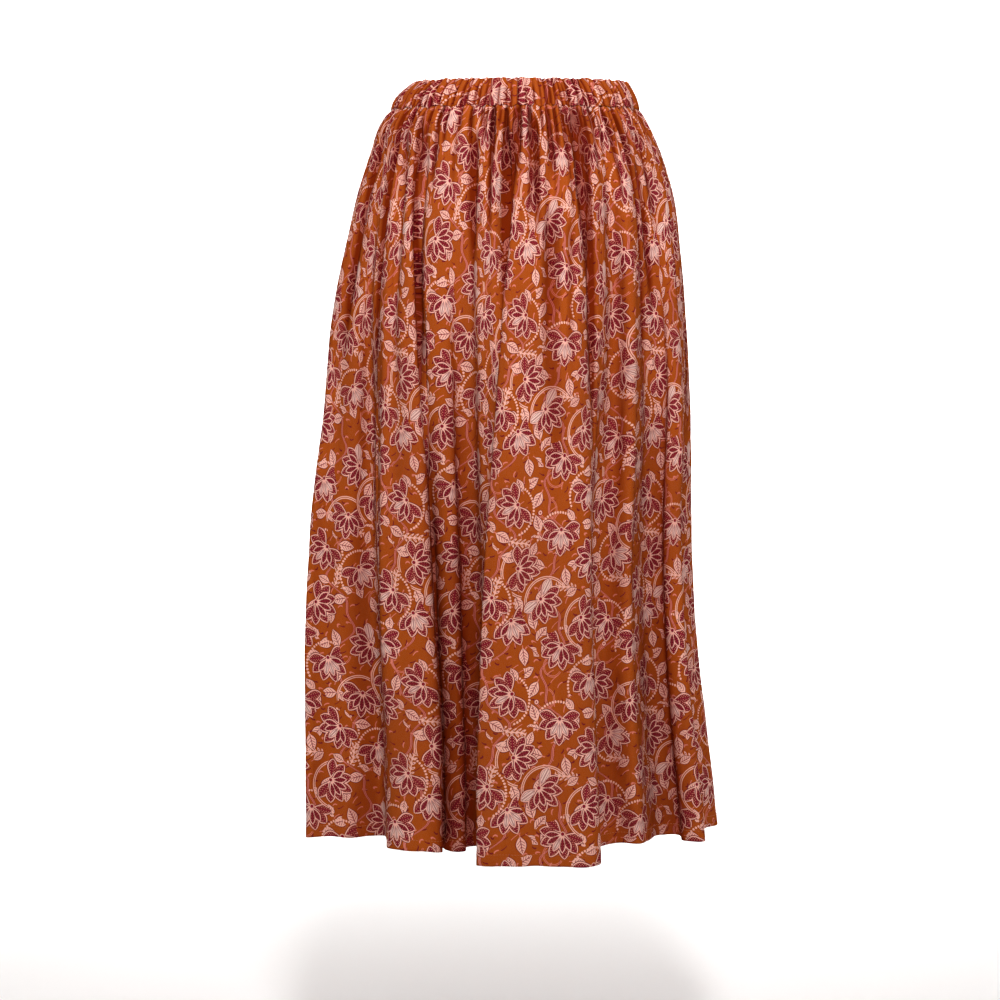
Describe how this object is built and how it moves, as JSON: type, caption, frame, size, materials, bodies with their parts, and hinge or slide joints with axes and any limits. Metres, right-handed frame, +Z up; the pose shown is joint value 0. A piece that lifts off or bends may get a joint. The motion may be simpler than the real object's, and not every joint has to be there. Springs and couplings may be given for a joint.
{
  "type": "midi skirt",
  "caption": "Gathered A-line midi skirt as worn, with a puckered elasticated waistband and deep hanging folds; open at the waist and hem.",
  "frame": {"origin": "middle of the waistband, half-way up its height, on the wearer's own axis", "axes": "+Z up towards the waist opening, -Y towards the front of the wearer, +X towards the right of the picture (the wearer's left)"},
  "size_m": [0.4545, 0.3528, 0.8228],
  "materials": {
    "skirt_cloth": "soft matt woven viscose, printed",
    "band_cloth": "soft matt woven viscose, printed, puckered over elastic"
  },
  "bodies": {
    "root": {"waistband": "band_cloth", "skirt_front": "skirt_cloth", "skirt_back": "skirt_cloth"}
  },
  "joints": []
}
